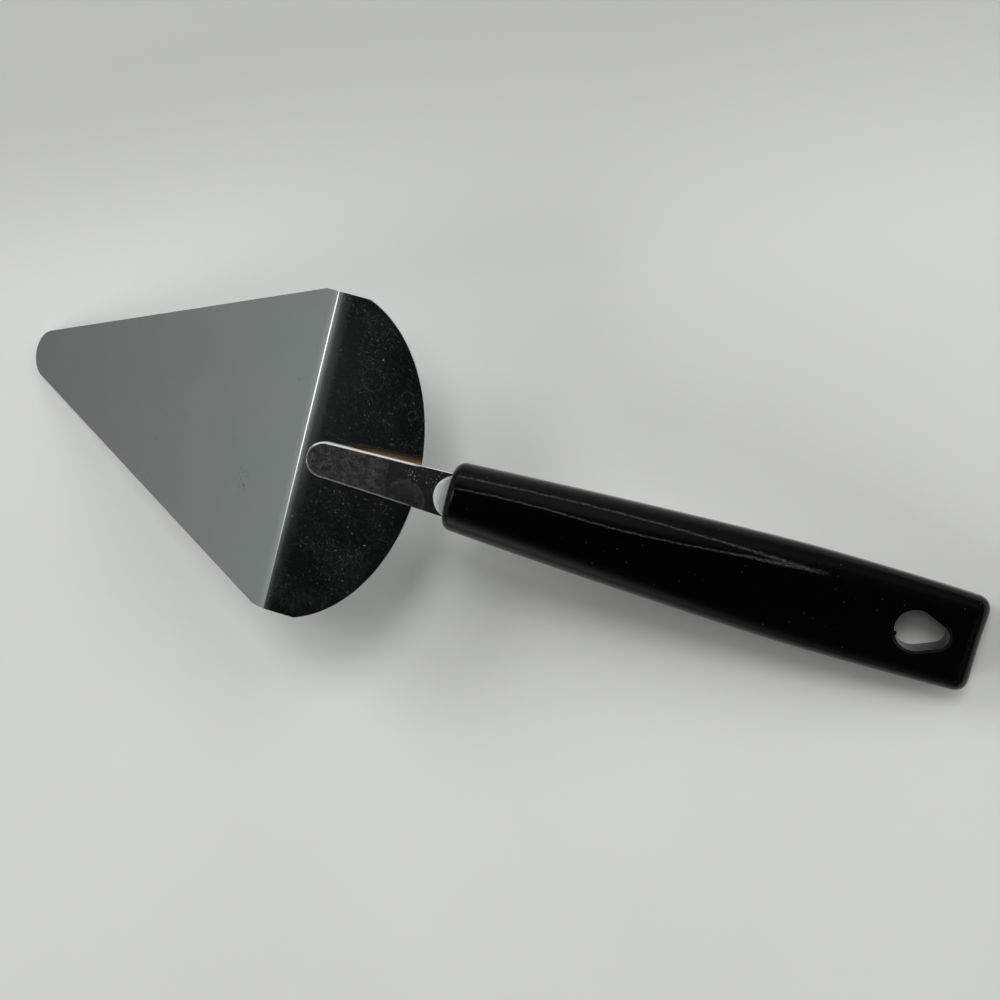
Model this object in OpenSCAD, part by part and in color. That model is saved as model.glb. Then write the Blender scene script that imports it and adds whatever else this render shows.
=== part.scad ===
// Cake server lying face down on a table: a folded triangular stainless blade, a strip tang along
// the back of its heel, a short sprung tongue wedged beside the tang, and a moulded handle.
// Millimetres. Every piece is drawn about the fold line (x towards the handle, y across the blade,
// z out of the back of the heel), and rest_pose() then tips the whole server on to z = 0.

/* [Blade] */
// Width of the blade across the fold
blade_width = 80; // [66:0.5:88]
// Length of the blade from the fold line to the tip
blade_length = 113.2; // [90:0.5:130]
// Radius of the rounded tip
tip_radius = 7; // [5:0.25:10]
// Straight side of the blade between its long edge and the fold
side_front = 4.1; // [2:0.1:8]
// Straight side of the heel between the fold and its curved edge
side_rear = 7.9; // [5:0.1:12]
// Depth of the heel from the fold to the middle of its curved edge
heel_depth = 30; // [26:0.5:34]
// Sheet thickness
sheet = 1; // [0.8:0.05:1.4]
// Angle of the fold between blade and heel
fold_angle = 28.8; // [15:0.1:35]
// Inside radius of the crease in the middle of the fold
fold_radius = 1; // [0.6:0.1:3]
// Length of the soft run of the fold into the heel
heel_ease = 4; // [2:0.1:6]
// Angle that the soft run into the heel takes up
heel_ease_angle = 6; // [2:0.5:7]
// Length of the soft run of the fold into the blade
blade_ease = 1.6; // [0.8:0.1:3]
// Angle that the soft run into the blade takes up
blade_ease_angle = 4; // [1:0.5:5]

/* [Tang] */
// Thickness of the tang strip
tang_thickness = 1.3; // [1:0.05:1.8]
// Width of the tang behind its rounded front end
tang_front_width = 8.6; // [7:0.1:10]
// Width of the tang where it enters the handle
tang_rear_width = 10.6; // [9:0.1:12]
// Distance from the fold line to the front end of the tang
tang_start = 1.9; // [1.5:0.1:6]
// Distance from the fold line to the slight bend where the tang leaves the heel
tang_bend_at = 18; // [14:0.5:24]
// Angle by which the tang and the handle lift off the heel
tang_lift = 2.5; // [1:0.1:6]
// Length of tang inside the handle
tang_inside = 68; // [45:1:80]

/* [Tongue] */
// Thickness of the sprung tongue
tongue_thickness = 0.9; // [0.7:0.05:1.2]
// Width of the tongue
tongue_width = 9.6; // [7:0.1:10]
// Radius of the tongue's rounded tip
tongue_tip_radius = 5.1; // [5:0.1:7]
// Length of tongue standing out of the handle
tongue_out = 3.1; // [2.5:0.1:5]
// Rise of the tongue off the tang at its visible end
tongue_rise = 10; // [6:0.5:13]
// Length of tongue inside the handle
tongue_inside = 52; // [36:1:60]
// Angle at which the hidden end comes back down on to the tang
tongue_return = 4; // [3:0.5:8]

/* [Handle] */
// Length of the handle
handle_length = 126.6; // [110:0.1:140]
// Distance from the bend of the tang to the mouth of the handle
mouth_at = 20; // [15:0.5:26]
// Width of the handle behind its front rim
handle_front_width = 16.6; // [14.5:0.1:20]
// Greatest width of the handle
handle_belly_width = 23.8; // [20:0.1:27]
// Width of the handle at its end
handle_end_width = 22.2; // [19:0.1:26]
// Where the greatest width falls along the handle, as a fraction of its length
handle_belly_at = 0.68; // [0.55:0.01:0.8]
// Thickness of the handle behind its front rim
handle_front_depth = 12.4; // [11.5:0.1:16]
// Thickness of the handle at its end
handle_end_depth = 10; // [8:0.1:12]
// Radius of the rolled front rim
front_round = 2.3; // [1.5:0.1:3]
// Radius of the rounded end
end_round = 3.2; // [2:0.1:4]
// Hollow of the end edge
end_hollow = 0.7; // [0:0.05:1.2]
// Depth of the middle of the handle's front below the underside of the tang
handle_front_sink = 1.4; // [0:0.1:2]
// Depth of the middle of the handle's end below the underside of the tang
handle_end_sink = 3.6; // [2:0.1:5]
// Clearance between the sides of the strips and the socket
socket_side_gap = 0.1; // [0.05:0.01:0.3]

/* [Hang hole] */
// Radius of the wide end of the hole
hole_big_radius = 4.7; // [3.5:0.1:5.5]
// Radius of the narrow end of the hole
hole_small_radius = 2.8; // [2:0.1:3.5]
// Distance between the centres of the two ends
hole_centres = 4.7; // [3:0.1:7]
// Distance from the end of the handle to the centre of the wide end
hole_from_end = 14.9; // [12:0.1:20]
// Width of the softened rim round the hole
hole_rim = 0.7; // [0.3:0.05:1.2]

/* [Hidden] */
$fn = 72;
half = blade_width / 2;
// the fold turns in three arcs: easily off the heel, sharply at the crease, easily on to the blade
bend_turns = [heel_ease_angle, fold_angle - heel_ease_angle - blade_ease_angle, blade_ease_angle];
bend_radii = [heel_ease / (PI * heel_ease_angle / 180), fold_radius + sheet,
              blade_ease / (PI * blade_ease_angle / 180)];
// ellipse of the heel's edge, centred on the fold line and passing through both side corners
heel_half = half / sqrt(1 - pow(side_rear / heel_depth, 2));
tip_centre = blade_length - tip_radius;
tip_reach = sqrt(pow(tip_centre - side_front, 2) + half * half);
edge_angle = atan2(half, tip_centre - side_front) - asin(tip_radius / tip_reach);
tang_end = mouth_at + tang_inside;
tongue_start = mouth_at - tongue_out;
tongue_flat_at = mouth_at + 0.6;
tongue_lift = (tongue_flat_at - tongue_start) * tan(tongue_rise);
tongue_end = mouth_at + tongue_inside;
tongue_down_at = tongue_end - tongue_lift / tan(tongue_return);
socket_top = tang_thickness + tongue_lift + tongue_thickness;
socket_width = tang_rear_width + 2 * socket_side_gap;
hole_at = mouth_at + handle_length - hole_from_end;
belly = handle_length * handle_belly_at;
BENDS = 8;
STEPS = 44;
ROUND = 7;
SIDES = 48;

// half width and half thickness of the handle at u from its mouth, before its ends are rounded
function half_width(u) = u < belly
    ? (handle_front_width + (handle_belly_width - handle_front_width) * (1 - pow(1 - u / belly, 1.35))) / 2
    : (handle_belly_width
       - (handle_belly_width - handle_end_width) * pow((u - belly) / (handle_length - belly), 2)) / 2;
function half_depth(u) = let (t = u / handle_length)
    (handle_front_depth + 0.9 * sin(180 * min(1, t / 0.8))
     - (handle_front_depth - handle_end_depth) * t * t * (3 - 2 * t)) / 2;
// height of the middle of the handle above the underside of the tang
function mid_height(u) = let (t = u / handle_length)
    -handle_front_sink - (handle_end_sink - handle_front_sink) * t * t * (3 - 2 * t);
// distance by which a rounded edge of radius r has fallen away at distance d inside the end face
function fall(r, d) = d >= r ? 0 : r - sqrt(max(0, r * r - (r - d) * (r - d)));
function inset(u) = fall(front_round, u) + fall(end_round, handle_length - u);
// stations close together over both rounded ends and even along the grip
stations = concat(
    [for (i = [0 : ROUND]) front_round * (1 - cos(90 * i / ROUND))],
    [for (i = [1 : STEPS - 1]) front_round + (handle_length - front_round - end_round) * i / STEPS],
    [for (i = [0 : ROUND]) handle_length - end_round * (1 - sin(90 * i / ROUND))]);
// squarer sections towards the end of the handle
function square_power(u) = 2 / (2.35 + 0.75 * u / handle_length);
function bend_power(v, p) = sign(v) * pow(abs(v), p);
function hollow(u, y) = end_hollow * pow(max(0, 1 - (handle_length - u) / 22), 2)
    * (1 - pow(y / half_width(u), 2));
function section(u) = let (w = half_width(u) - inset(u), h = half_depth(u) - inset(u), p = square_power(u))
    [for (k = [0 : SIDES - 1]) let (a = 360 * k / SIDES, y = w * bend_power(cos(a), p))
        [mouth_at + u - hollow(u, y), y, mid_height(u) + h * bend_power(sin(a), p)]];

// the table is the line under the tip and the handle: the flattest line from the tip clears the rest
tip_low = [-blade_length * cos(fold_angle) + sheet * sin(fold_angle),
           -blade_length * sin(fold_angle) - sheet * cos(fold_angle)];
function from_grip(x, z) = [tang_bend_at + x * cos(tang_lift) - z * sin(tang_lift),
                            x * sin(tang_lift) + z * cos(tang_lift)];
low_line = [for (u = stations)
    from_grip(mouth_at + u - hollow(u, 0), mid_height(u) - half_depth(u) + inset(u))];
rest_angle = min([for (q = low_line) atan2(q[1] - tip_low[1], q[0] - tip_low[0])]);
rest_height = tip_low[0] * sin(rest_angle) - tip_low[1] * cos(rest_angle);
far_x = max([for (u = stations) let (q = from_grip(mouth_at + u - hollow(u, 0.7 * half_width(u)),
                                                   mid_height(u) + 0.6 * (half_depth(u) - inset(u))))
    q[0] * cos(rest_angle) + q[1] * sin(rest_angle)]);
near_x = -blade_length * cos(fold_angle - rest_angle);

module rest_pose() {
    translate([-(far_x + near_x) / 2, 0, rest_height]) rotate([0, rest_angle, 0]) children();
}

// the frame of tang, tongue and handle: its origin is the bend of the tang
module grip_pose() {
    translate([tang_bend_at, 0, 0]) rotate([0, -tang_lift, 0]) children();
}

// a flat outline in x and y, carried through the given thickness up to the given height
module plate(points, thick, top) {
    translate([0, 0, top - thick]) linear_extrude(thick) polygon(points);
}

// a strip profile in x and z, carried across the width
module strip(points, width) {
    translate([0, width / 2, 0]) rotate([90, 0, 0]) linear_extrude(width) polygon(points);
}

// side view of the folded sheet: heel, bend and blade, each run on past its cut edge
function out_of(a) = [-sin(a), cos(a)];
turned = [0, bend_turns[0], bend_turns[0] + bend_turns[1]];
first_centre = [0, -bend_radii[0]];
crease_centre = first_centre + (bend_radii[0] - bend_radii[1]) * out_of(turned[1]);
last_centre = crease_centre + (bend_radii[1] - bend_radii[2]) * out_of(turned[2]);
bend_end = last_centre + bend_radii[2] * out_of(fold_angle);
// where the bend starts on the heel, so that the faces of heel and blade meet at the fold line
bend_start = bend_end[1] / tan(fold_angle) - bend_end[0];
bend_centres = [first_centre, crease_centre, last_centre];
function on_bend(i, k, depth) = [bend_start, 0] + bend_centres[i]
    + (bend_radii[i] - depth) * out_of(turned[i] + bend_turns[i] * k / BENDS);
function down_blade(d, z) = [-d * cos(fold_angle) - z * sin(fold_angle),
                             -d * sin(fold_angle) + z * cos(fold_angle)];
sheet_profile = concat(
    [[heel_depth + 5, -sheet], [heel_depth + 5, 0]],
    [for (i = [0 : 2], k = [min(i, 1) : BENDS]) on_bend(i, k, 0)],
    [down_blade(blade_length + 5, 0), down_blade(blade_length + 5, -sheet)],
    [for (i = [2 : -1 : 0], k = [BENDS : -1 : min(i, 1)]) on_bend(i, k, sheet)]);

module blade() {
    color("lightgray") rest_pose() intersection() {
        strip(sheet_profile, blade_width + 10);
        union() {
            // cut of the heel: straight sides, then the elliptical edge
            plate(concat([[-1, -half]],
                [for (i = [0 : 80]) let (y = half * sin(-90 + 180 * i / 80))
                    [heel_depth * sqrt(1 - pow(y / heel_half, 2)), y]],
                [[-1, half]]), 16, 8);
            // cut of the blade: straight sides, then long edges running to the rounded tip
            rotate([0, -fold_angle, 0]) mirror([1, 0, 0])
                plate(concat([[-1, half], [-1, -half], [side_front, -half]],
                    [for (i = [0 : 36]) let (a = (90 - edge_angle) * (-1 + i / 18))
                        [tip_centre + tip_radius * cos(a), tip_radius * sin(a)]],
                    [[side_front, half]]), 16, 8);
        }
    }
}

module tang() {
    r = tang_front_width / 2;
    taper = (tang_rear_width - tang_front_width) / 2;
    lean = tang_thickness * tan(tang_lift / 2);
    color("silver") rest_pose() intersection() {
        // side view: flat on the heel, then lifting away into the handle
        strip([[tang_start - 1, 0], [tang_bend_at, 0], from_grip(tang_end, 0),
               from_grip(tang_end, tang_thickness), [tang_bend_at - lean, tang_thickness],
               [tang_start - 1, tang_thickness]], 30);
        // plan: rounded front end, slight taper, then straight inside the handle
        translate([0, 0, -5]) linear_extrude(30) union() {
            translate([tang_start + r, 0]) circle(r);
            polygon([[tang_start + r, -r], [tang_bend_at + mouth_at, -r - taper], [200, -r - taper],
                     [200, r + taper], [tang_bend_at + mouth_at, r + taper], [tang_start + r, r]]);
        }
    }
}

module tongue() {
    w = tongue_width;
    z0 = tang_thickness;
    z1 = z0 + tongue_lift;
    t = tongue_thickness;
    lean_in = t * tan(tongue_rise / 2);
    lean_out = t * tan(tongue_return / 2);
    tip_at = tongue_start - 0.1 + tongue_tip_radius;
    color("gainsboro") rest_pose() grip_pose() intersection() {
        // side view: its tip bears on the tang, its back bears on the roof of the socket
        strip([[tongue_start, z0], [tongue_flat_at, z1], [tongue_down_at, z1], [tongue_end, z0],
               [tongue_end + t * sin(tongue_return), z0 + t * cos(tongue_return)],
               [tongue_down_at + lean_out, z1 + t], [tongue_flat_at - lean_in, z1 + t],
               [tongue_start - t * sin(tongue_rise), z0 + t * cos(tongue_rise)]], 30);
        // plan: rounded tip and straight sides
        translate([0, 0, -5]) linear_extrude(30) union() {
            intersection() {
                translate([tip_at, 0]) circle(tongue_tip_radius);
                translate([0, -w / 2]) square([100, w]);
            }
            translate([tip_at, -w / 2]) square([100, w]);
        }
    }
}

// egg-shaped plug for the hole, widened by add0 at its foot and by add1 at its head
module hole_plug(z0, z1, add0, add1) {
    hull() {
        translate([hole_at, 0, z0])
            cylinder(h = z1 - z0, r1 = hole_big_radius + add0, r2 = hole_big_radius + add1);
        translate([hole_at + hole_centres, 0, z0])
            cylinder(h = z1 - z0, r1 = hole_small_radius + add0, r2 = hole_small_radius + add1);
    }
}

module handle() {
    rows = len(stations);
    points = [for (u = stations) each section(u)];
    sides = [for (i = [0 : rows - 2], k = [0 : SIDES - 1]) let (n = (k + 1) % SIDES)
        [i * SIDES + k, i * SIDES + n, (i + 1) * SIDES + n, (i + 1) * SIDES + k]];
    front = [for (k = [0 : SIDES - 1]) SIDES - 1 - k];
    rear = [for (k = [0 : SIDES - 1]) (rows - 1) * SIDES + k];
    u_hole = handle_length - hole_from_end;
    top = mid_height(u_hole) + half_depth(u_hole);
    low = mid_height(u_hole) - half_depth(u_hole);
    color("black") rest_pose() grip_pose() difference() {
        polyhedron(points, concat([front], sides, [rear]), convexity = 6);
        // socket for tang and tongue
        translate([mouth_at - 1, -socket_width / 2, 0])
            cube([tang_inside + 3, socket_width, socket_top]);
        // hang hole with softened rims
        hole_plug(low - 5, top + 5, 0, 0);
        hole_plug(top - hole_rim, top + 1, 0, hole_rim + 1);
        hole_plug(low - 1, low + hole_rim, hole_rim + 1, 0);
    }
}

blade();
tang();
tongue();
handle();
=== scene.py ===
# %% [markdown]
# # A cake server, face down on a table
# The real server is four pieces: a folded stainless blade, a strip tang on the back of its heel,
# the end of a sprung tongue at the mouth of the handle, and a glossy black moulded handle.
# Their shapes come finished from the CAD model, so this lesson is about edges, finishes and light.
# We load the model first, because everything else is placed by it.

# %% Load the model and keep its box
import functools
import math

import bmesh
import bpy
import mathutils
from mathutils import Matrix, Vector


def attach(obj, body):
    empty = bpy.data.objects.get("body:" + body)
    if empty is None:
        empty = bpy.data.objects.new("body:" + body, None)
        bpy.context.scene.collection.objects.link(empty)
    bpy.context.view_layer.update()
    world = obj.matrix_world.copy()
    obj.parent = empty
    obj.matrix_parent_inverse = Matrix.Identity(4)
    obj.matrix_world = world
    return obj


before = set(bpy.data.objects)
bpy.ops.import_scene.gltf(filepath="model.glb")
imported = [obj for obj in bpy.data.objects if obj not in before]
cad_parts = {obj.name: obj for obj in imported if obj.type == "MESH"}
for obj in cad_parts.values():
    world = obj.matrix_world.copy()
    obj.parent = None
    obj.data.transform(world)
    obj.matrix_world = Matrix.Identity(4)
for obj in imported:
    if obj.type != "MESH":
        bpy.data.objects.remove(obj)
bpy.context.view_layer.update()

MM = 1000.0

scene = bpy.context.scene
scene.view_settings.view_transform = "Standard"
print("pieces:", ", ".join(sorted(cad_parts)))

# %% [markdown]
# ## Sums on sockets
# A finish is a sum: a little more roughness where there is dust, a little less colour where there
# is a stain. Adding Math nodes one by one hides that sum, so one small class wraps a socket and
# lets us write it as Python. Any node that is not a sum comes from the class's node() method.

# %% A wire that can be added, multiplied and eased
class Wire:
    """One output socket in a node tree."""

    def __init__(self, tree, socket=None):
        self.tree = tree
        self.socket = socket

    def node(self, kind, settings=None, sockets=None, out=0):
        """Add a node: its settings first, then the values or links of its sockets."""
        made = self.tree.nodes.new(kind)
        for name, value in (settings or {}).items():
            setattr(made, name, value)
        for name, value in (sockets or {}).items():
            if isinstance(value, Wire):
                self.tree.links.new(value.socket, made.inputs[name])
            else:
                made.inputs[name].default_value = value
        return Wire(self.tree, made.outputs[out] if made.outputs else None)

    def other(self, out):
        """Another output of the node that this wire comes from."""
        return Wire(self.tree, self.socket.node.outputs[out])

    def maths(self, operation, *values):
        return self.node("ShaderNodeMath", {"operation": operation}, dict(enumerate(values)))

    def __add__(self, value):
        return self.maths("ADD", self, value)

    def __sub__(self, value):
        return self.maths("SUBTRACT", self, value)

    def __rsub__(self, value):
        return self.maths("SUBTRACT", value, self)

    def __mul__(self, value):
        return self.maths("MULTIPLY", self, value)

    def __truediv__(self, value):
        return self.maths("DIVIDE", self, value)

    def __rtruediv__(self, value):
        return self.maths("DIVIDE", value, self)

    def __pow__(self, value):
        return self.maths("POWER", self, value)

    def __abs__(self):
        return self.maths("ABSOLUTE", self)

    __radd__ = __add__
    __rmul__ = __mul__

    def most(self, value):
        return self.maths("MAXIMUM", self, value)

    def least(self, value):
        return self.maths("MINIMUM", self, value)

    def ease(self, start, end):
        """0 at start, 1 at end, with a soft bend at both."""
        return self.node("ShaderNodeMapRange", {"interpolation_type": "SMOOTHSTEP"},
                         {"Value": self, "From Min": start, "From Max": end})

    def from_floor(self, floor):
        """The same wire with its 0 raised to the floor and its 1 kept."""
        return floor + (1 - floor) * self

    def tint(self, first, second):
        """Two colours, each a wire or three numbers, mixed by this wire as the second one's share."""
        a, b = ((*c, 1.0) if isinstance(c, tuple) else c for c in (first, second))
        return self.node("ShaderNodeMix", {"data_type": "RGBA"}, {0: self, 6: a, 7: b}, out=2)


print("wires can be added, subtracted, multiplied, divided, raised, eased and tinted")

# %% [markdown]
# ## The camera
# The photograph looks steeply down from above the end of the handle. The camera was worked out from
# the outline of the blade and the handle, so it is given as a place and two directions of the
# picture rather than as a point to look at. The lens is the one that gives the same narrowing.

# %% Put the camera where the photograph was taken
EYE = Vector((0.129576, 0.048553, 0.336479))
PICTURE_RIGHT = Vector((0.903374, 0.250813, -0.347861))
PICTURE_UP = Vector((-0.283432, 0.957918, -0.045383))
SENSOR_MM = 36.0
FOCUS_IN_PICTURE_WIDTHS = 1.4
NEAREST, FURTHEST = 0.01, 20.0

lens = bpy.data.cameras.new("camera")
lens.sensor_fit = "HORIZONTAL"
lens.sensor_width = SENSOR_MM
lens.lens = FOCUS_IN_PICTURE_WIDTHS * SENSOR_MM
lens.clip_start, lens.clip_end = NEAREST, FURTHEST
camera = bpy.data.objects.new("camera", lens)
axes = Matrix((PICTURE_RIGHT, PICTURE_UP, PICTURE_RIGHT.cross(PICTURE_UP))).transposed()
camera.matrix_world = Matrix.Translation(EYE) @ axes.to_4x4()
scene.collection.objects.link(camera)
scene.camera = camera
print("camera looks down by", round(math.degrees(math.asin(axes.col[2][2])), 1), "degrees")

# %% [markdown]
# ## The table
# The server lies on a plain pale table. A real table top is never one flat grey, so the colour
# drifts by a few hundredths and the surface has a faint tooth. The far corner is darker too, a
# painted shade where the light falls off. An image could give all three, but sums on noise stay
# sharp at any distance. It is a stage, not a piece.

# %% A round table top
TABLE_RADIUS, TABLE_SIDES = 3.0, 96

ring = [(TABLE_RADIUS * math.cos(a), TABLE_RADIUS * math.sin(a), 0.0)
        for a in (math.tau * i / TABLE_SIDES for i in range(TABLE_SIDES))]
table_mesh = bpy.data.meshes.new("table")
table_mesh.from_pydata(ring, [], [list(range(len(ring)))])
table = bpy.data.objects.new("table", table_mesh)
scene.collection.objects.link(table)
print("table radius", TABLE_RADIUS, "m")


# %% Helpers that start a finish and feed its shader
def new_finish(name):
    """A material with one Principled shader, its bare tree as a wire, and the shader."""
    material = bpy.data.materials.new(name)
    material.use_nodes = True
    material.node_tree.nodes.clear()
    wire = Wire(material.node_tree)
    shader = wire.node("ShaderNodeBsdfPrincipled")
    wire.node("ShaderNodeOutputMaterial", None, {"Surface": shader})
    return material, wire, shader.socket.node


def feed(wire, shader, sockets):
    """Set or link the sockets of a shader that is already there."""
    for name, value in sockets.items():
        if isinstance(value, Wire):
            wire.tree.links.new(value.socket, shader.inputs[name])
        else:
            shader.inputs[name].default_value = value


def bump(wire, height, strength, distance):
    """The normal of a surface that the height lifts by up to the distance, in metres."""
    return wire.node("ShaderNodeBump", None,
                     {"Height": height, "Strength": strength, "Distance": distance})


print("helpers: new_finish, feed, bump")

# %% A pale grey with a faint tooth, and painted shade in the far corner
TABLE_GREY = (0.618, 0.627, 0.605)
TABLE_DRIFT = 0.015
# The far corner numbers set a painted shade, darker where the light falls off.
FAR_CORNER, FAR_CORNER_SLANT, FAR_SHADE_SHARE, FAR_SHADE_LEVEL = (0.05, 0.13), 0.35, 0.9, 0.7
DRIFT_SCALE, TOOTH_SCALE = 9.0, 1400.0
TOOTH_HEIGHT = 0.0001


def table_grey(level):
    return tuple(part * level for part in TABLE_GREY)


top_finish, w, shader = new_finish("table_top")
spot = w.node("ShaderNodeTexCoord", out="Object")
drift = w.node("ShaderNodeTexNoise", None, {"Vector": spot, "Scale": DRIFT_SCALE, "Detail": 3.0})
tooth = w.node("ShaderNodeTexNoise", None, {"Vector": spot, "Scale": TOOTH_SCALE, "Detail": 2.0})
side = w.node("ShaderNodeSeparateXYZ", None, {"Vector": spot}, out="X")
# Painted shade that darkens the table towards the far corner.
far_corner_shade = (side.other("Y") - FAR_CORNER_SLANT * side).ease(*FAR_CORNER)
grey = drift.ease(0.3, 0.7).tint(table_grey(1 - TABLE_DRIFT), table_grey(1 + TABLE_DRIFT))
feed(w, shader, {
    "Base Color": (FAR_SHADE_SHARE * far_corner_shade).tint(grey, table_grey(FAR_SHADE_LEVEL)),
    "Roughness": 0.55 + 0.1 * tooth,
    "Specular IOR Level": 0.25,
    "Normal": bump(w, tooth, 0.15, TOOTH_HEIGHT),
})
table_mesh.materials.append(top_finish)
print("table grey", TABLE_GREY, "with", len(w.tree.nodes), "nodes")

# %% [markdown]
# ## The room in the steel
# Bright steel is a picture of the room, so the room is a world shader that depends on direction. The
# back of the heel mirrors something dark overhead, the blade mirrors a grey wall, and the crease
# catches a glow above the blade. A real room could be built of walls and lamps, but then each mirror
# would need its own trial and error. Here each thing in the room is one line: a direction, a level
# and a softness. A pale skirting goes all round, so the table ends against something pale from any
# side. All of this is for mirrors only, so the world shows to camera, glossy and transmission rays.

# %% What stands where in the room
def direction(azimuth, elevation):
    """A unit vector from two angles in degrees."""
    a, e = math.radians(azimuth), math.radians(elevation)
    return Vector((math.cos(e) * math.cos(a), math.cos(e) * math.sin(a), math.sin(e)))


def cosines(*degrees):
    return [math.cos(math.radians(d)) for d in degrees]


WALL_LOW, WALL_RISE = 0.03, 0.63
WALL_FROM, WALL_EDGE, WALL_SHADE = direction(180, 20), cosines(110, 35), 0.3
DARKS = [
    {"from": direction(-110, 83), "edge": cosines(46, 17)},
    {"from": direction(-90, 45), "edge": cosines(35, 15)},
    {"from": direction(38, 58), "edge": cosines(24, 4)},
]
DARKEST = 0.004
GLOWS = [
    {"from": direction(190, 64), "peak": 3.4, "tightness": 150},
    {"from": direction(213, 80), "peak": 0.045, "tightness": 320},
    {"from": direction(118, 38), "peak": 0.3, "tightness": 30},
    {"from": direction(78, 66), "peak": 0.3, "tightness": 90},
    {"from": direction(97, 8), "peak": 0.3, "tightness": 22},
    {"from": direction(-103, 22), "peak": 1.0, "tightness": 20},
]
SKIRTING, SKIRTING_TOP = 0.55, (0.16, 0.06)
ROOM_TINT = (0.985, 1.0, 0.995, 1.0)
print("glows come from", [[round(v, 2) for v in glow["from"]] for glow in GLOWS])

# %% Grey walls, dark patches, glows and the skirting
room = bpy.data.worlds.new("room")
scene.world = room
room.use_nodes = True
room.node_tree.nodes.clear()
w = Wire(room.node_tree)
way = w.node("ShaderNodeTexCoord", out="Generated")
up = w.node("ShaderNodeSeparateXYZ", None, {"Vector": way}, out="Z")


def towards(target):
    """The cosine of the angle between a way out of the scene and a target direction."""
    return w.node("ShaderNodeVectorMath", {"operation": "DOT_PRODUCT"},
                  {0: way, 1: target}, out="Value")


walls = WALL_LOW + WALL_RISE * up.most(0.0)
for dark in DARKS:
    walls = walls * (1 - towards(dark["from"]).ease(*dark["edge"]))
walls = walls * towards(WALL_FROM).ease(*WALL_EDGE).from_floor(WALL_SHADE)
level = walls + DARKEST
for glow in GLOWS:
    level = level + glow["peak"] * towards(glow["from"]).most(0.0) ** glow["tightness"]
level = level.most(SKIRTING * up.ease(*SKIRTING_TOP))
ray = w.node("ShaderNodeLightPath", out="Is Camera Ray")
mirrored = ray.most(ray.other("Is Glossy Ray")).most(ray.other("Is Transmission Ray"))
sky = w.node("ShaderNodeBackground", None, {"Color": ROOM_TINT, "Strength": level * mirrored})
w.node("ShaderNodeOutputWorld", None, {"Surface": sky})
print("room has", len(w.tree.nodes), "nodes")

# %% [markdown]
# ## The lamps
# The table is lit by soft round lamps, which are kept out of the mirrors, where the photograph shows
# no discs. The shadow is dark on the near side of the handle and pale under the blade, so most of
# the light on the table comes from the far side, and low lamps all round fill in the rest.

# %% Soft lamps around the table
LAMPS = {
    "far": {"azimuth": 90, "elevation": 59, "across": 0.8, "watts": 17.0},
    "far_left": {"azimuth": 150, "elevation": 35, "across": 1.2, "watts": 22.0},
    "far_right": {"azimuth": 60, "elevation": 35, "across": 1.2, "watts": 15.0},
    "low_right": {"azimuth": 30, "elevation": 16, "across": 1.4, "watts": 25.0},
    "low_left": {"azimuth": 180, "elevation": 15, "across": 1.4, "watts": 16.0},
    "low_near": {"azimuth": 225, "elevation": 20, "across": 1.6, "watts": 36.0},
    "overhead": {"azimuth": 90, "elevation": 76, "across": 0.5, "watts": 4.5},
}
LAMP_AWAY = 2.4

for name, values in LAMPS.items():
    bulb = bpy.data.lights.new("lamp_" + name, "AREA")
    bulb.shape = "DISK"
    bulb.size = values["across"]
    bulb.energy = values["watts"]
    lamp = bpy.data.objects.new("lamp_" + name, bulb)
    lamp_from = direction(values["azimuth"], values["elevation"])
    lamp.location = lamp_from * LAMP_AWAY
    lamp.rotation_euler = lamp_from.to_track_quat("Z", "Y").to_euler()
    lamp.visible_glossy = lamp.visible_camera = False
    scene.collection.objects.link(lamp)
    print("lamp", name, "at", [round(v, 2) for v in lamp.location])

# %% [markdown]
# ## Edges
# A CAD model has perfect corners, and a perfect corner never catches the light. A stamped sheet is
# tumbled after it is cut, which leaves a small round on each edge. The shapes themselves are right,
# so they are not rebuilt: modifiers join the facets, round the cut edges, by a seventh of a
# millimetre on the sheet and by about half a millimetre on the strips, and shade the rest smoothly.
# The handle is moulded with its rounds, so it only needs the shading.

# %% Node groups that join the facets and keep real corners crisp
JOIN_WITHIN = 1e-6


def mesh_group(name):
    """A node group that takes a mesh in and gives one out, and a wire in its tree."""
    group = bpy.data.node_groups.new(name, "GeometryNodeTree")
    for way_through in ("INPUT", "OUTPUT"):
        group.interface.new_socket("Mesh", in_out=way_through, socket_type="NodeSocketGeometry")
    return group, Wire(group)


def joining():
    """A node group that joins the facets of a piece and drops the flat shading they came with."""
    group, w = mesh_group("join_facets")
    joined = w.node("GeometryNodeMergeByDistance", None,
                    {"Geometry": w.node("NodeGroupInput"), "Distance": JOIN_WITHIN})
    plain = w.node("GeometryNodeRemoveAttribute", None, {"Geometry": joined, "Name": "custom_normal"})
    smooth = w.node("GeometryNodeSetShadeSmooth", {"domain": "FACE"}, {"Geometry": plain})
    w.node("NodeGroupOutput", None, {"Mesh": smooth})
    return group


def sharpening(limit):
    """A node group that keeps edges sharper than the limit crisp and the others smooth."""
    group, w = mesh_group("crisp_over_%d" % limit)
    turn = w.node("GeometryNodeInputMeshEdgeAngle")
    soft = w.maths("LESS_THAN", turn, math.radians(limit))
    smooth = w.node("GeometryNodeSetShadeSmooth", {"domain": "EDGE"},
                    {"Geometry": w.node("NodeGroupInput"), "Shade Smooth": soft})
    w.node("NodeGroupOutput", None, {"Mesh": smooth})
    return group


join_facets = joining()
print("node group:", join_facets.name)

# %% Join, round and smooth each piece
EDGE_ROUND = {"blade": 0.00014, "tang": 0.0005, "tongue": 0.0004}
ROUND_STEPS, ROUND_OVER = 3, math.radians(40)
CRISP_OVER = {"blade": 50, "tang": 50, "tongue": 50, "handle": 16}

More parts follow.
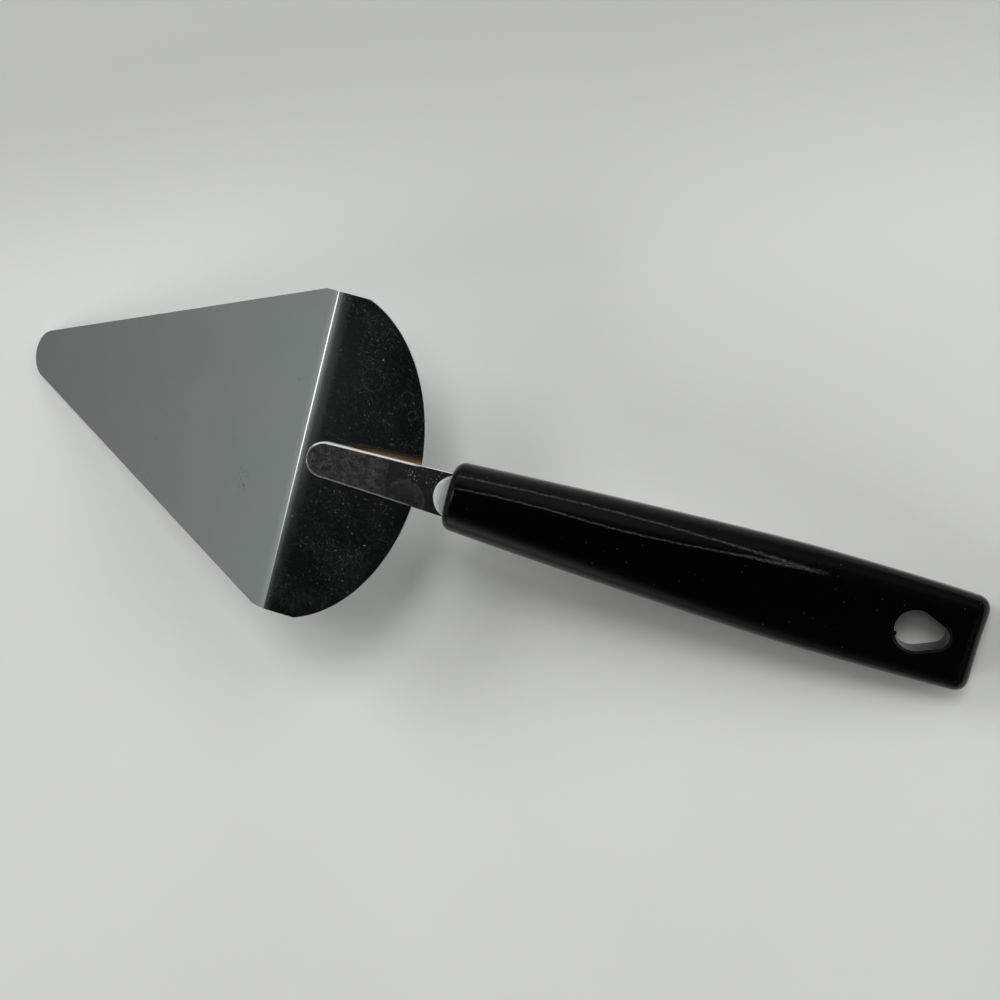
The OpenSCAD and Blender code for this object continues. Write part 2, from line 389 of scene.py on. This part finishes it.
crisp = {limit: sharpening(limit) for limit in sorted(set(CRISP_OVER.values()))}
for name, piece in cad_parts.items():
    piece.modifiers.new("join", "NODES").node_group = join_facets
    if name in EDGE_ROUND:
        bevel = piece.modifiers.new("tumbled_edge", "BEVEL")
        bevel.width = EDGE_ROUND[name]
        bevel.segments = ROUND_STEPS
        bevel.limit_method = "ANGLE"
        bevel.angle_limit = ROUND_OVER
    piece.modifiers.new("crisp", "NODES").node_group = crisp[CRISP_OVER[name]]
    piece.modifiers.new("flat_faces", "WEIGHTED_NORMAL").keep_sharp = True
    print(name, "modifiers:", [m.name for m in piece.modifiers])

# %% [markdown]
# ## Places on the server
# A stain or a rub mark sits at a place that is easy to say on the flat it lies on: so far from the
# fold, so far across. The flats slope differently, so one helper turns the object's own coordinates
# into millimetres along, across and above a flat, from the flat's start and its slope. The heel and
# the blade start at the fold, and the grip starts where the tang bends off the heel.

# %% Millimetres along, across and above a flat
FOLD = (-0.0267855, 0.0345538)
HEEL_SLOPE, FOLD_ANGLE, TANG_LIFT = 11.5339, 28.8, 2.5
TANG_BEND_MM = 18.0


def metres_on(flat, along, across, above):
    """The place in the object's own frame of millimetres on a flat."""
    (x0, z0), slope = flat["start"], math.radians(flat["slope"])
    c, s = math.cos(slope) / MM, math.sin(slope) / MM
    return Vector((x0 + along * c + above * s, across / MM, z0 - along * s + above * c))


HEEL_FLAT = {"start": FOLD, "slope": HEEL_SLOPE}
BLADE_FLAT = {"start": FOLD, "slope": HEEL_SLOPE - FOLD_ANGLE}
tang_bend = metres_on(HEEL_FLAT, TANG_BEND_MM, 0.0, 0.0)
GRIP_FLAT = {"start": (tang_bend.x, tang_bend.z), "slope": HEEL_SLOPE - TANG_LIFT}


def place_on(wire, flat):
    """Millimetres along, across and above a flat, as three wires."""
    (x0, z0), slope = flat["start"], math.radians(flat["slope"])
    c, s = MM * math.cos(slope), MM * math.sin(slope)
    x = wire.node("ShaderNodeSeparateXYZ", None,
                  {"Vector": wire.node("ShaderNodeTexCoord", out="Object")}, out="X")
    y, z = x.other("Y"), x.other("Z")
    along = x * c - z * s - (x0 * c - z0 * s)
    above = x * s + z * c - (x0 * s + z0 * c)
    return along, y * MM, above


def flatness(wire, slope):
    """1 where the surface lies along a flat of this slope, 0 where it stands square to it."""
    return abs(wire.node("ShaderNodeVectorMath", {"operation": "DOT_PRODUCT"},
                         {0: wire.node("ShaderNodeNewGeometry", out="Normal"),
                          1: direction(0, 90 - slope)}, out="Value"))


slopes = [round(flat["slope"], 1) for flat in (HEEL_FLAT, BLADE_FLAT, GRIP_FLAT)]
print("slopes of heel, blade and grip:", slopes)

# %% [markdown]
# ## Marks that every piece shares
# Dust, stains and streaks turn up on each finish, so their helpers come first. Noise has so many
# humps a millimetre along and across, so a streak is noise with few humps along the piece and many
# across it. Dust is a net of random cells with a small dot in some of them. A water mark is a thin
# ring, and a rub or a stain is a soft patch. Each mark's numbers are kept in one named record.

# %% Helpers for noise, dust, rings and patches
SMALLEST_SPECK = 0.25


def noise(place, grain, detail=2.0, show=None):
    """Smooth random values from 0 to 1, or a mask that eases in where they pass the two of show."""
    scaled = {axis: mm * humps for axis, mm, humps in zip("XYZ", place, grain)}
    spot = place[0].node("ShaderNodeCombineXYZ", None, scaled)
    value = spot.node("ShaderNodeTexNoise", None, {"Vector": spot, "Scale": 1.0, "Detail": detail})
    return value.ease(*show) if show else value


def dust(place, spacing, size, share, weight=1.0):
    """Specks up to size mm wide, in a share of cells that are spacing mm apart."""
    along, across = place
    spot = along.node("ShaderNodeCombineXYZ", None, {"X": along / spacing, "Y": across / spacing})
    far = spot.node("ShaderNodeTexVoronoi", {"voronoi_dimensions": "2D"},
                    {"Vector": spot, "Scale": 1.0}, out="Distance")
    lot = far.node("ShaderNodeSeparateColor", None, {"Color": far.other("Color")}, out="Red")
    reach = lot.other("Green").from_floor(SMALLEST_SPECK) * (0.5 * size / spacing)
    return weight * lot.maths("LESS_THAN", lot, share) * (far / reach).ease(1.0, 0.5)


def ring_mark(place, centre, radius, width):
    """A thin closed ring."""
    along, across = place
    reach = ((along - centre[0]) ** 2.0 + (across - centre[1]) ** 2.0) ** 0.5
    return abs(reach - radius).ease(width, 0.0)


def patch(place, centre, size, weight=1.0):
    """A soft oval that fades out at the given half lengths."""
    along, across = place
    reach = ((along - centre[0]) / size[0]) ** 2.0 + ((across - centre[1]) / size[1]) ** 2.0
    return weight * reach.ease(1.0, 0.0)


def strongest(marks):
    """The strongest of several marks at each place."""
    return functools.reduce(Wire.most, marks)


print("helpers: noise, dust, ring_mark, patch, strongest")

# %% [markdown]
# ## Blade steel
# The blade is bright rolled stainless sheet. Most of its look is the room in it, so the colour is
# plain and the work goes into what disturbs the mirror: faint rolling lines, a slow ripple of the
# sheet, dust and dried water on the heel, a golden heat tint beside the tang, a scuff on the blade,
# and the rougher torn face along the cut edge. A picture of a real sheet would fix them at one size;
# masks in millimetres keep each mark at its own place, and the dirt on the back of the sheet only.

# %% Rolling lines and ripple
FOLD_BAND = (-0.4, 0.4)
BACK_FACE = (-0.7, -0.3)
ROLLING_LINES = {"grain": (0.05, 2.2), "detail": 3.0}
SHEET_CLOUD = {"grain": (0.06, 0.06), "detail": 3.0}
RIPPLE = {"grain": (0.045, 0.045), "detail": 1.0}

steel, w, shader = new_finish("blade_sheet")
heel_x, across, heel_z = place_on(w, HEEL_FLAT)
blade_x, _, blade_z = place_on(w, BLADE_FLAT)
heel, blade = (heel_x, across), (blade_x, across)
on_heel = heel_x.ease(*FOLD_BAND)
on_back = heel_z.most(blade_z).ease(*BACK_FACE)
rolling = noise(blade, **ROLLING_LINES)
cloud = noise(blade, **SHEET_CLOUD)
ripple = noise(blade, **RIPPLE)
print("sheet nodes so far:", len(w.tree.nodes))

# %% Dust, water rings and stains on the heel
FILM = {"grain": (0.12, 0.12), "detail": 4.0, "show": (0.4, 0.7)}
GRIT = {"grain": (4.0, 4.0), "detail": 2.0, "show": (0.52, 0.72)}
HEEL_DUST = [
    {"weight": 1.0, "spacing": 0.45, "size": 0.3, "share": 0.5},
    {"weight": 1.6, "spacing": 1.3, "size": 0.45, "share": 0.3},
    {"weight": 2.4, "spacing": 3.4, "size": 0.55, "share": 0.3},
]
WOBBLE = {"grain": (0.9, 0.9)}
BROKEN = {"grain": (1.7, 1.7), "detail": 4.0, "show": (0.35, 0.65)}
WATER_RINGS = [
    {"wobble": 1.0, "centre": (13.3, 21.7), "radius": 2.7, "width": 0.4},
    {"wobble": 1.0, "centre": (22.4, 19.4), "radius": 1.7, "width": 0.35},
    {"wobble": 0.6, "centre": (24.6, 15.8), "radius": 1.1, "width": 0.35},
]
HOOK = {"centre": (21.4, 7.8), "size": (1.4, 0.5)}
STAIN_STREAKS = {"grain": (1.0, 0.6), "detail": 4.0, "show": (0.2, 0.75)}
STAIN_WOBBLE = 4
STAINS = [
    {"weight": 1.0, "centre": (17.5, -25.0), "size": (6.5, 8.0)},
    {"weight": 0.8, "centre": (12.0, -33.5), "size": (6.0, 3.5)},
    {"weight": 0.8, "centre": (10.5, 34.0), "size": (5.5, 4.5)},
]

film = noise(heel, **FILM)
grit = noise(heel, **GRIT)
specks = strongest(dust(heel, **layer) for layer in HEEL_DUST)
wobble = noise(heel, **WOBBLE) - 0.5
broken = noise(heel, **BROKEN)
rings = broken * strongest(
    ring_mark((heel_x + wobble * ring["wobble"], across), ring["centre"], ring["radius"], ring["width"])
    for ring in WATER_RINGS)
hook = broken * patch((heel_x + wobble, across), **HOOK)
stains = noise(heel, **STAIN_STREAKS) * strongest(
    patch((heel_x + STAIN_WOBBLE * wobble, across), **stain) for stain in STAINS)
print(len(WATER_RINGS), "rings and", len(STAINS), "stains on the heel")

# %% Heat tint beside the tang, scuff on the blade, torn cut edge
TANG_HALF, TANG_WIDENS, TANG_ROUND_FROM = 4.25, 0.033, 6.2
HEAT_START, HEAT_FADE, HEAT_ALONG = (-0.2, 0.1), (1.9, 0.0), (9.0, 22.0)
SCUFF = {"centre": (-17.4, -12.0), "size": (3.2, 6.0)}
SCUFF_GRAIN = {"grain": (1.6, 0.8), "detail": 4.0, "show": (0.56, 0.66)}
DARK_DUST = {"spacing": 9.0, "size": 0.55, "share": 0.35}
CUT_EDGE = (0.8, 0.4)
TORN = {"grain": (3.0, 3.0, 0.6), "detail": 2.0}


def tang_half_width(along):
    """Half the width of the tang, which widens from the middle of its round front end."""
    return TANG_HALF + TANG_WIDENS * (along - TANG_ROUND_FROM).most(0.0)


beside_tang = across - tang_half_width(heel_x)
heat = (beside_tang.ease(*HEAT_START) * beside_tang.ease(*HEAT_FADE)
        * heel_x.ease(*HEAT_ALONG) * on_back)
scuff = patch(blade, **SCUFF) * noise(blade, **SCUFF_GRAIN)
dark_specks = dust(blade, **DARK_DUST)
cut = strongest(flatness(w, flat["slope"]) for flat in (HEEL_FLAT, BLADE_FLAT)).ease(*CUT_EDGE)
torn = noise((blade_x, across, blade_z), **TORN)
print("heat tint from", HEAT_ALONG[0], "mm behind the fold, scuff at", SCUFF["centre"])

# %% Put the blade steel together
SHEET_COLOURS = ((0.545, 0.592, 0.575), (0.57, 0.615, 0.597))
SCUFF_COLOUR = (0.10, 0.10, 0.095)
HEEL_DUST_COLOUR = (0.50, 0.58, 0.62)
HEAT_COLOUR = (0.23, 0.15, 0.065)
SHEET_CUT_COLOUR = (0.66, 0.67, 0.66)
DUST_COLOURS_BY, HEAT_COLOURS_BY = 12, 5
SHEET_RELIEF = 0.00003

dirt = (0.12 * specks * film.from_floor(0.4) + 0.02 * grit * film.from_floor(0.3) + 0.003 * film
        + 0.036 * rings + 0.06 * hook + 0.012 * stains)
dirt = (on_heel * on_back * dirt).least(1.0)
darkened = (0.55 * scuff + 0.5 * dark_specks) * (1 - on_heel) * on_back
colour = cloud.ease(0.3, 0.7).tint(*SHEET_COLOURS)
colour = darkened.tint(colour, SCUFF_COLOUR)
colour = (dirt * DUST_COLOURS_BY).least(1.0).tint(colour, HEEL_DUST_COLOUR)
colour = (heat * HEAT_COLOURS_BY).least(1.0).tint(colour, HEAT_COLOUR)
colour = cut.tint(colour, SHEET_CUT_COLOUR)
feed(w, shader, {
    "Base Color": colour,
    "Metallic": (1 - 0.85 * dirt) * (1 - 0.4 * heat),
    "Roughness": (0.07 + 0.04 * rolling + 0.03 * cloud + 0.8 * dirt + 0.06 * heat
                  + 0.2 * scuff + 0.18 * cut),
    "Normal": bump(w, ripple + 0.004 * rolling + 0.6 * cut * torn, 1.0, SHEET_RELIEF),
})
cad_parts["blade"].material_slots[0].material = steel
print("blade steel has", len(w.tree.nodes), "nodes")

# %% [markdown]
# ## Tang steel
# The tang is a strip of the same steel, but it is handled and never wiped well, so a grey film of
# dust and fine scratches lies on it. Where it leaves the heel there is a dark band, a faint round
# mark and a few bright specks. Its sheared edges are frosty and pale. The rim beside them is a
# painted highlight, brightest on the far side, where the light comes from. A bare mirror would lose
# that highlight whenever the room behind it is dark, so the painted rim is less metallic and paler
# than the strip.

# %% Tang: dusty film, a band and a round mark
TANG_CLOUD = {"grain": (0.45, 0.6), "detail": 4.0, "show": (0.35, 0.65)}
TANG_GRAIN = {"grain": (1.6, 2.2), "detail": 5.0}
TANG_LAY = {"grain": (0.25, 1.4), "detail": 3.0}
TANG_DUST = {"spacing": 0.8, "size": 0.36, "share": 0.35}
REAR_DUST = {"weight": 6.0, "spacing": 0.8, "size": 0.4, "share": 0.5}
REAR_ALONG, REAR_ACROSS = (24.0, 28.0), (-1.0, 2.0)
FILM_FADES = (24.5, 19.0)
BAND_AT, BAND_SLANT, BAND_EDGE = 23.2, 0.1, (1.1, 0.3)
ROUND_MARK = {"centre": (28.0, -4.2), "size": (5.8, 5.4)}
ROUND_MARK_RIM, ROUND_MARK_FADE, ROUND_MARK_SWAY = (0.0, 0.12), (1.3, 0.1), 0.3

strip, w, shader = new_finish("tang_strip")
along, across, _ = place_on(w, HEEL_FLAT)
tang = (along, across)
cloud = noise(tang, **TANG_CLOUD)
grain = noise(tang, **TANG_GRAIN)
lay = noise(tang, **TANG_LAY)
rear_specks = dust(tang, **REAR_DUST) * along.ease(*REAR_ALONG) * across.ease(*REAR_ACROSS)
specks = dust(tang, **TANG_DUST).most(rear_specks)
band = abs(along - BAND_AT + BAND_SLANT * across).ease(*BAND_EDGE)
disc = patch((along + ROUND_MARK_SWAY * lay, across), **ROUND_MARK)
mark = disc.ease(*ROUND_MARK_RIM) * disc.ease(*ROUND_MARK_FADE) * cloud.from_floor(0.3)
film = cloud.from_floor(0.25) * grain.ease(0.35, 0.65).from_floor(0.25)
film = film * along.ease(*FILM_FADES).from_floor(0.15) + 0.55 * mark * grain.from_floor(0.4)
film = (film * (1 - 0.8 * band)).least(1.0)
print("dark band", BAND_AT, "mm behind the fold, round mark at", ROUND_MARK["centre"])

# %% Tang: frosty edges and a painted highlight on the rim, then put it together
SHEARED = (0.94, 0.78)
# The rim numbers set a painted highlight beside the sheared edges, brightest on the far side.
RIM_EDGE, GLINT_FAR_SIDE, GLINT_NEAR_SHARE, RIM_ENDS = (-0.42, -0.2), (1.6, 3.2), 0.2, (31.0, 27.0)
TANG_COLOURS = ((0.55, 0.56, 0.55), (0.62, 0.63, 0.62))
TANG_DUST_COLOUR = (0.54, 0.55, 0.52)
TANG_EDGE_AND_GLINT_COLOUR = (0.86, 0.86, 0.84)
TANG_RELIEF = 0.00002

from_middle = ((along - TANG_ROUND_FROM).least(0.0) ** 2.0 + across ** 2.0) ** 0.5
# Painted highlight along the rim, strongest on the far side, where the light comes from.
rim_glint = (from_middle - tang_half_width(along)).ease(*RIM_EDGE)
rim_glint = rim_glint * across.ease(*GLINT_FAR_SIDE).most(GLINT_NEAR_SHARE) * along.ease(*RIM_ENDS)
# cut: the frosty sheared faces together with the painted highlight on the rim.
cut = flatness(w, GRIP_FLAT["slope"]).ease(*SHEARED).most(rim_glint)
dirt = (0.085 * film + 0.06 * specks).least(1.0) * (1 - cut)
colour = lay.tint(*TANG_COLOURS)
colour = (dirt * DUST_COLOURS_BY).least(1.0).tint(colour, TANG_DUST_COLOUR)
colour = cut.tint(colour, TANG_EDGE_AND_GLINT_COLOUR)
feed(w, shader, {
    "Base Color": colour,
    "Metallic": 1 - 0.9 * dirt - 0.8 * cut,
    "Roughness": 0.09 + 0.08 * film + 0.04 * lay + 0.2 * cut,
    "Normal": bump(w, 0.3 * grain + lay, 0.6, TANG_RELIEF),
})
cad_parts["tang"].material_slots[0].material = strip
print("tang steel has", len(w.tree.nodes), "nodes")

# %% [markdown]
# ## Tongue steel
# Only the round end of the tongue shows. It is rubbed dull where it was pushed in beside the tang, so
# it is rougher and paler than the rest, with marks across it that follow the way it was bent. Its cut
# edge is frosted in the same way as the tang's.

# %% Tongue: rubbed and streaked
TONGUE_STREAKS = {"grain": (3.0, 0.35), "detail": 4.0}
TONGUE_MOTTLE = {"grain": (2.0, 2.0), "detail": 4.0}
TONGUE_DUST = {"spacing": 0.7, "size": 0.25, "share": 0.3}
TONGUE_CUT = (0.9, 0.7)
TONGUE_COLOURS = ((0.64, 0.65, 0.65), (0.82, 0.83, 0.83))
TONGUE_DUST_COLOUR = (0.75, 0.75, 0.74)
TONGUE_CUT_COLOUR = (0.82, 0.82, 0.81)
TONGUE_RELIEF = 0.00003

spring, w, shader = new_finish("tongue_spring")
along, across, _ = place_on(w, GRIP_FLAT)
tongue = (along, across)
streaks = noise(tongue, **TONGUE_STREAKS)
mottle = noise(tongue, **TONGUE_MOTTLE)
specks = dust(tongue, **TONGUE_DUST)
cut = flatness(w, 0).ease(*TONGUE_CUT)
colour = streaks.ease(0.35, 0.7).tint(*TONGUE_COLOURS)
colour = (0.6 * specks).tint(colour, TONGUE_DUST_COLOUR)
colour = cut.tint(colour, TONGUE_CUT_COLOUR)
feed(w, shader, {
    "Base Color": colour,
    "Metallic": 0.9 - 0.4 * specks - 0.6 * cut,
    "Roughness": 0.24 + 0.16 * mottle + 0.08 * streaks,
    "Normal": bump(w, 0.4 * streaks + mottle, 0.8, TONGUE_RELIEF),
})
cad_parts["tongue"].material_slots[0].material = spring
print("tongue steel has", len(w.tree.nodes), "nodes")

# %% [markdown]
# ## Handle plastic
# The handle is black moulded plastic with its mould gloss worn down. Years of wiping leave fine
# scratches along it, and dust sits in them. Two longer pale lines run from the mouth to beyond the
# belly, where they meet in a bundle of scratches. They are partly rub marks and partly painted
# highlights: pale colour where long lights above the far side shine on the handle. Each is drawn
# as a distance from a curve across the top of the handle: a bow for the outer line, and a bow with
# a slow swing for the inner one.

# %% Two lines along the handle, partly rub marks and partly painted highlights
MOUTH = 20.0
OUTER_BOW, INNER_BOW = (5.34, 0.084, -0.00077), (2.87, 0.011, 0.00041)
SWING, SWING_FROM, SWING_LENGTH, SWING_DIES = 0.55, 6.0, 58.0, 0.01
# These numbers place the two pale lines, partly rub marks and partly painted highlights.
RUB_AND_HIGHLIGHT_START, RUB_AND_HIGHLIGHT_END, RUB_AND_HIGHLIGHT_SPREADS = (1.0, 3.5), (91.0, 84.0), (62.0, 84.0)
RUB_AND_HIGHLIGHT_HALF_WIDTH, RUB_AND_HIGHLIGHT_SPREAD = 0.34, 0.34
WAVER = {"grain": (0.3, 0.2), "detail": 4.0}
RUB_AND_HIGHLIGHT_BROKEN = {"grain": (1.1, 3.5), "detail": 5.0, "show": (0.36, 0.66)}
FACES_UP = (0.35, 0.7)

plastic, w, shader = new_finish("handle_moulding")
along, across, above = place_on(w, GRIP_FLAT)
handle = (along, across)
reach = along - MOUTH


def bow(start, slope, bend):
    """A curve across the handle, in millimetres from its middle, over the reach from its mouth."""
    return start + slope * reach + bend * reach * reach


facing_up = w.node("ShaderNodeSeparateXYZ", None,
                   {"Vector": w.node("ShaderNodeNewGeometry", out="Normal")}, out="Z")
top = facing_up.ease(*FACES_UP)
swing = SWING * w.maths("SINE", (reach - SWING_FROM) * (math.tau / SWING_LENGTH))
swing = swing * (1 - SWING_DIES * reach)
waver = noise(handle, **WAVER) - 0.5
half_width = RUB_AND_HIGHLIGHT_HALF_WIDTH + RUB_AND_HIGHLIGHT_SPREAD * reach.ease(*RUB_AND_HIGHLIGHT_SPREADS)
# The two pale lines: partly rub marks, partly painted highlights of lights above the far side.
rub_and_highlight = strongest((abs(across + 0.5 * waver - line) / half_width).ease(1.0, 0.0)
                for line in (bow(*OUTER_BOW), bow(*INNER_BOW) + swing))
rub_and_highlight = rub_and_highlight * top * reach.ease(*RUB_AND_HIGHLIGHT_START) * reach.ease(*RUB_AND_HIGHLIGHT_END)
rub_and_highlight = rub_and_highlight * noise(handle, **RUB_AND_HIGHLIGHT_BROKEN).from_floor(0.15)
print("rub lines end", RUB_AND_HIGHLIGHT_END[0], "mm from the mouth")

# %% Scratches, dust, the worn gloss and the painted highlight lines
SCRATCHES = {"grain": (0.16, 5.0, 5.0), "detail": 4.0}
FINE_SCRATCHES = {"grain": (0.5, 12.0, 12.0), "detail": 3.0}
GLOSS_CLOUD = {"grain": (0.07, 0.18, 0.18), "detail": 3.0}
HANDLE_DUST = {"spacing": 2.6, "size": 0.4, "share": 0.25}
# The pale colour serves dust, scratches and the lines that are partly painted highlights.
BLACK, BLOOM_AND_HIGHLIGHT_COLOUR = (0.0006, 0.0007, 0.0007), (0.55, 0.56, 0.55)
HANDLE_RELIEF = 0.00002

scratch = noise((along, across, above), **SCRATCHES)
fine = noise((along, across, above), **FINE_SCRATCHES)
cloud = noise((along, across, above), **GLOSS_CLOUD)
hairs = scratch.ease(0.6, 0.75) * fine.ease(0.4, 0.7)
specks = dust(handle, **HANDLE_DUST) * top
# Pale colour for scratches and dust, and for the lines that are partly painted highlights.
bloom_and_highlight = (0.09 * rub_and_highlight + 0.006 * hairs + 0.05 * specks).least(1.0)
feed(w, shader, {
    "Base Color": bloom_and_highlight.tint(BLACK, BLOOM_AND_HIGHLIGHT_COLOUR),
    "Roughness": 0.11 + 0.08 * cloud + 0.1 * hairs + 0.2 * rub_and_highlight,
    "Specular IOR Level": 0.25,
    "Normal": bump(w, 0.5 * scratch + 0.2 * fine + 2 * cloud, 0.5, HANDLE_RELIEF),
})
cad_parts["handle"].material_slots[0].material = plastic
print("handle plastic has", len(w.tree.nodes), "nodes")

# %% [markdown]
# ## A nib of flash in the hang hole
# The pin that cored the hole left a scrap of plastic on its wall, just under the rim. A dark spot in
# the material would not do, because the nib shows against the pale table through the hole. It is a
# small ragged egg, half sunk in the wall, drawn in the same millimetres as the marks above.

# %% The nib
HOLE_CENTRE, HOLE_RADIUS = 131.7, 4.7
NIB_ANGLE, NIB_ABOVE = math.radians(205), 0.3
NIB_OUT, NIB_WIDE, NIB_TALL = 0.55, 0.5, 0.42
NIB_RAGGED, NIB_HUMPS = 0.3, 1.7

outward = Vector((math.cos(NIB_ANGLE), math.sin(NIB_ANGLE), 0.0))
sideways = Vector((-outward.y, outward.x, 0.0))
upward = Vector((0.0, 0.0, 1.0))
nib_at = outward * HOLE_RADIUS + Vector((HOLE_CENTRE, 0.0, NIB_ABOVE))
nib_mesh = bpy.data.meshes.new("flash_nib")
lump = bmesh.new()
bmesh.ops.create_icosphere(lump, subdivisions=3, radius=1.0)
for point in lump.verts:
    out, wide, tall = point.co
    swell = 1 + NIB_RAGGED * mathutils.noise.noise(point.co * NIB_HUMPS)
    egg = outward * (NIB_OUT * out) + sideways * (NIB_WIDE * wide) + upward * (NIB_TALL * tall)
    point.co = metres_on(GRIP_FLAT, *(nib_at + swell * egg))
bmesh.ops.recalc_face_normals(lump, faces=lump.faces)
lump.to_mesh(nib_mesh)
lump.free()
nib_mesh.shade_smooth()
nib_mesh.materials.append(plastic)
nib = bpy.data.objects.new("flash_nib", nib_mesh)
scene.collection.objects.link(nib)
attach(nib, "root")
print("nib of", len(nib_mesh.polygons), "faces at", [round(v, 4) for v in nib_mesh.vertices[0].co])
